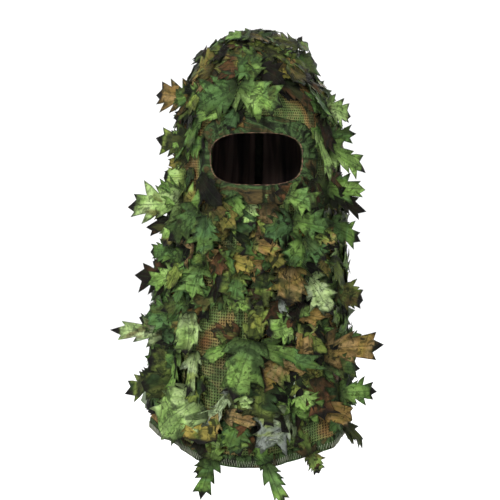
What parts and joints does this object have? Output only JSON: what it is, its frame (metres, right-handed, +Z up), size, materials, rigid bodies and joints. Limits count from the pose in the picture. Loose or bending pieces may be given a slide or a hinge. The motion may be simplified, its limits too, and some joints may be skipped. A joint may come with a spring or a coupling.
{
  "type": "camouflage face mask",
  "caption": "Pull-on camouflage face hood of printed net with an elastic face opening, a long tubular drape, and die-cut cloth leaves that lie in strips or flap.",
  "frame": {"origin": "head seat: the underside of the crown seam, where the hood hangs on the crown of the wearer's head", "axes": "+Z up, -Y the way the wearer faces, +X towards the wearer's left"},
  "size_m": [0.2826, 0.2387, 0.4813],
  "materials": {
    "printed_net": "matt knitted net, camouflage print",
    "binding": "matt folded tape",
    "elastic": "braided elastic",
    "seam_tape": "matt overlocked edge",
    "leaf_strip": "satin woven polyester, camouflage print",
    "leaf_wing": "satin woven polyester, camouflage print"
  },
  "bodies": {
    "hood": {"right_crown_panel": "printed_net", "left_crown_panel": "printed_net", "opening_binding": "binding", "opening_elastic": "elastic", "crown_seam_tape": "seam_tape", "chin_seam_tape": "seam_tape", "yoke_seam_tape": "seam_tape", "leaf_strip_forehead": "leaf_strip", "leaf_strip_brow_right": "leaf_strip", "leaf_strip_brow_left": "leaf_strip", "leaf_strip_temple_right": "leaf_strip", "leaf_strip_temple_left": "leaf_strip", "leaf_strip_ear_right": "leaf_strip", "leaf_strip_ear_left": "leaf_strip", "leaf_strip_back_right_outer": "leaf_strip", "leaf_strip_back_right_inner": "leaf_strip", "leaf_strip_back_centre": "leaf_strip", "leaf_strip_back_left_inner": "leaf_strip", "leaf_strip_back_left_outer": "leaf_strip"},
    "drape": {"front_veil_panel": "printed_net", "back_drape_panel": "printed_net", "hem_binding": "binding", "right_side_seam_tape": "seam_tape", "left_side_seam_tape": "seam_tape", "leaf_strip_drape_chin": "leaf_strip", "leaf_strip_drape_throat_right": "leaf_strip", "leaf_strip_drape_throat_left": "leaf_strip", "leaf_strip_drape_collar_right": "leaf_strip", "leaf_strip_drape_collar_left": "leaf_strip", "leaf_strip_drape_shoulder_right": "leaf_strip", "leaf_strip_drape_shoulder_left": "leaf_strip", "leaf_strip_drape_nape_right": "leaf_strip", "leaf_strip_drape_nape_left": "leaf_strip", "leaf_strip_drape_nape": "leaf_strip"},
    "wing_temple_right": {"leaf_wing_temple_right": "leaf_wing"},
    "wing_ear_right": {"leaf_wing_ear_right": "leaf_wing"},
    "wing_cheek_right": {"leaf_wing_cheek_right": "leaf_wing"},
    "wing_crown_top": {"leaf_wing_crown_top": "leaf_wing"},
    "wing_crown_left": {"leaf_wing_crown_left": "leaf_wing"},
    "wing_temple_left": {"leaf_wing_temple_left": "leaf_wing"},
    "wing_ear_left": {"leaf_wing_ear_left": "leaf_wing"},
    "wing_cheek_left": {"leaf_wing_cheek_left": "leaf_wing"},
    "wing_crown_back": {"leaf_wing_crown_back": "leaf_wing"},
    "wing_back_right": {"leaf_wing_back_right": "leaf_wing"},
    "wing_back_left": {"leaf_wing_back_left": "leaf_wing"},
    "wing_back_centre": {"leaf_wing_back_centre": "leaf_wing"},
    "wing_drape_neck_right": {"leaf_wing_drape_neck_right": "leaf_wing"},
    "wing_drape_side_right_upper": {"leaf_wing_drape_side_right_upper": "leaf_wing"},
    "wing_drape_side_right_lower": {"leaf_wing_drape_side_right_lower": "leaf_wing"},
    "wing_drape_neck_left": {"leaf_wing_drape_neck_left": "leaf_wing"},
    "wing_drape_side_left_upper": {"leaf_wing_drape_side_left_upper": "leaf_wing"},
    "wing_drape_side_left_middle": {"leaf_wing_drape_side_left_middle": "leaf_wing"},
    "wing_drape_side_left_lower": {"leaf_wing_drape_side_left_lower": "leaf_wing"},
    "wing_drape_hem_right": {"leaf_wing_drape_hem_right": "leaf_wing"},
    "wing_drape_hem_centre": {"leaf_wing_drape_hem_centre": "leaf_wing"},
    "wing_drape_hem_left": {"leaf_wing_drape_hem_left": "leaf_wing"},
    "wing_drape_nape_right": {"leaf_wing_drape_nape_right": "leaf_wing"},
    "wing_drape_nape_left": {"leaf_wing_drape_nape_left": "leaf_wing"},
    "wing_drape_back_right": {"leaf_wing_drape_back_right": "leaf_wing"},
    "wing_drape_back_left": {"leaf_wing_drape_back_left": "leaf_wing"}
  },
  "joints": [
    {"name": "drape_twist", "type": "hinge", "parent": "hood", "child": "drape", "pos_m": [-0.00413, 0, -0.2008], "axis": [0, 0, 1], "range_deg": [-25, 25], "stiffness_Nm_per_rad": 0.02},
    {"name": "temple_right_flap", "type": "hinge", "parent": "hood", "child": "wing_temple_right", "pos_m": [-0.07103, -0.04814, -0.06538], "axis": [0.2148, 0.0644, 0.9745], "range_deg": [-10, 50], "stiffness_Nm_per_rad": 0.001},
    {"name": "ear_right_flap", "type": "hinge", "parent": "hood", "child": "wing_ear_right", "pos_m": [-0.07513, -0.04951, -0.11043], "axis": [0.081, -0.0396, 0.9959], "range_deg": [-10, 50], "stiffness_Nm_per_rad": 0.001},
    {"name": "cheek_right_flap", "type": "hinge", "parent": "hood", "child": "wing_cheek_right", "pos_m": [-0.0782, -0.05959, -0.17082], "axis": [0.0471, 0.222, 0.9739], "range_deg": [-10, 50], "stiffness_Nm_per_rad": 0.001},
    {"name": "crown_top_flap", "type": "hinge", "parent": "hood", "child": "wing_crown_top", "pos_m": [-0.01044, -0.04849, -0.0012], "axis": [0.1807, 0.8564, 0.4837], "range_deg": [-10, 50], "stiffness_Nm_per_rad": 0.001},
    {"name": "crown_left_flap", "type": "hinge", "parent": "hood", "child": "wing_crown_left", "pos_m": [0.03894, -0.04094, -0.00907], "axis": [0.1174, -0.8326, -0.5413], "range_deg": [-10, 50], "stiffness_Nm_per_rad": 0.001},
    {"name": "temple_left_flap", "type": "hinge", "parent": "hood", "child": "wing_temple_left", "pos_m": [0.06779, -0.05778, -0.07497], "axis": [-0.074, -0.3584, -0.9306], "range_deg": [-10, 50], "stiffness_Nm_per_rad": 0.001},
    {"name": "ear_left_flap", "type": "hinge", "parent": "hood", "child": "wing_ear_left", "pos_m": [0.07066, -0.05892, -0.11537], "axis": [-0.2652, -0.5679, -0.7792], "range_deg": [-10, 50], "stiffness_Nm_per_rad": 0.001},
    {"name": "cheek_left_flap", "type": "hinge", "parent": "hood", "child": "wing_cheek_left", "pos_m": [0.07188, -0.06273, -0.16351], "axis": [-0.2375, -0.4674, -0.8515], "range_deg": [-10, 50], "stiffness_Nm_per_rad": 0.001},
    {"name": "crown_back_flap", "type": "hinge", "parent": "hood", "child": "wing_crown_back", "pos_m": [-0.00672, 0.08421, -0.02166], "axis": [0.9934, 0.0618, 0.0967], "range_deg": [-10, 50], "stiffness_Nm_per_rad": 0.001},
    {"name": "back_right_flap", "type": "hinge", "parent": "hood", "child": "wing_back_right", "pos_m": [-0.05916, 0.07884, -0.08528], "axis": [0.6122, 0.7628, 0.208], "range_deg": [-10, 50], "stiffness_Nm_per_rad": 0.001},
    {"name": "back_left_flap", "type": "hinge", "parent": "hood", "child": "wing_back_left", "pos_m": [0.05685, 0.08112, -0.08115], "axis": [0.6412, -0.7367, -0.2148], "range_deg": [-10, 50], "stiffness_Nm_per_rad": 0.001},
    {"name": "back_centre_flap", "type": "hinge", "parent": "hood", "child": "wing_back_centre", "pos_m": [0.0028, 0.1104, -0.13641], "axis": [0.9987, -0.0469, -0.0221], "range_deg": [-10, 50], "stiffness_Nm_per_rad": 0.001},
    {"name": "drape_neck_right_flap", "type": "hinge", "parent": "drape", "child": "wing_drape_neck_right", "pos_m": [-0.09535, -0.05052, -0.24813], "axis": [0.0797, 0.0475, 0.9957], "range_deg": [-10, 50], "stiffness_Nm_per_rad": 0.001},
    {"name": "drape_side_right_upper_flap", "type": "hinge", "parent": "drape", "child": "wing_drape_side_right_upper", "pos_m": [-0.10011, -0.04906, -0.305], "axis": [0.0369, -0.0007, 0.9993], "range_deg": [-10, 50], "stiffness_Nm_per_rad": 0.001},
    {"name": "drape_side_right_lower_flap", "type": "hinge", "parent": "drape", "child": "wing_drape_side_right_lower", "pos_m": [-0.1062, -0.043, -0.35385], "axis": [-0.1744, 0.4055, 0.8973], "range_deg": [-10, 50], "stiffness_Nm_per_rad": 0.001},
    {"name": "drape_neck_left_flap", "type": "hinge", "parent": "drape", "child": "wing_drape_neck_left", "pos_m": [0.07789, -0.05466, -0.2594], "axis": [-0.2414, -0.3516, -0.9045], "range_deg": [-10, 50], "stiffness_Nm_per_rad": 0.001},
    {"name": "drape_side_left_upper_flap", "type": "hinge", "parent": "drape", "child": "wing_drape_side_left_upper", "pos_m": [0.06434, -0.07027, -0.31869], "axis": [0.0501, 0.0259, -0.9984], "range_deg": [-10, 50], "stiffness_Nm_per_rad": 0.001},
    {"name": "drape_side_left_middle_flap", "type": "hinge", "parent": "drape", "child": "wing_drape_side_left_middle", "pos_m": [0.08096, -0.05495, -0.36497], "axis": [0.0165, -0.0638, -0.9978], "range_deg": [-10, 50], "stiffness_Nm_per_rad": 0.001},
    {"name": "drape_side_left_lower_flap", "type": "hinge", "parent": "drape", "child": "wing_drape_side_left_lower", "pos_m": [0.0886, -0.04716, -0.39858], "axis": [-0.427, -0.7469, -0.5097], "range_deg": [-10, 50], "stiffness_Nm_per_rad": 0.001},
    {"name": "drape_hem_right_flap", "type": "hinge", "parent": "drape", "child": "wing_drape_hem_right", "pos_m": [-0.04861, -0.09369, -0.42791], "axis": [-0.9233, 0.319, 0.2141], "range_deg": [-10, 50], "stiffness_Nm_per_rad": 0.001},
    {"name": "drape_hem_centre_flap", "type": "hinge", "parent": "drape", "child": "wing_drape_hem_centre", "pos_m": [0.00637, -0.0993, -0.43096], "axis": [-0.9144, -0.129, -0.3838], "range_deg": [-10, 50], "stiffness_Nm_per_rad": 0.001},
    {"name": "drape_hem_left_flap", "type": "hinge", "parent": "drape", "child": "wing_drape_hem_left", "pos_m": [0.05126, -0.08428, -0.4232], "axis": [-0.7726, -0.4599, -0.4377], "range_deg": [-10, 50], "stiffness_Nm_per_rad": 0.001},
    {"name": "drape_nape_right_flap", "type": "hinge", "parent": "drape", "child": "wing_drape_nape_right", "pos_m": [-0.05657, 0.08631, -0.27101], "axis": [0.8596, 0.4354, 0.2675], "range_deg": [-10, 50], "stiffness_Nm_per_rad": 0.001},
    {"name": "drape_nape_left_flap", "type": "hinge", "parent": "drape", "child": "wing_drape_nape_left", "pos_m": [0.03988, 0.08602, -0.278], "axis": [0.8421, -0.4338, -0.3204], "range_deg": [-10, 50], "stiffness_Nm_per_rad": 0.001},
    {"name": "drape_back_right_flap", "type": "hinge", "parent": "drape", "child": "wing_drape_back_right", "pos_m": [-0.09128, 0.06222, -0.34935], "axis": [0.6854, 0.7191, -0.1149], "range_deg": [-10, 50], "stiffness_Nm_per_rad": 0.001},
    {"name": "drape_back_left_flap", "type": "hinge", "parent": "drape", "child": "wing_drape_back_left", "pos_m": [0.06844, 0.06723, -0.35626], "axis": [0.7352, -0.6684, 0.1128], "range_deg": [-10, 50], "stiffness_Nm_per_rad": 0.001}
  ]
}
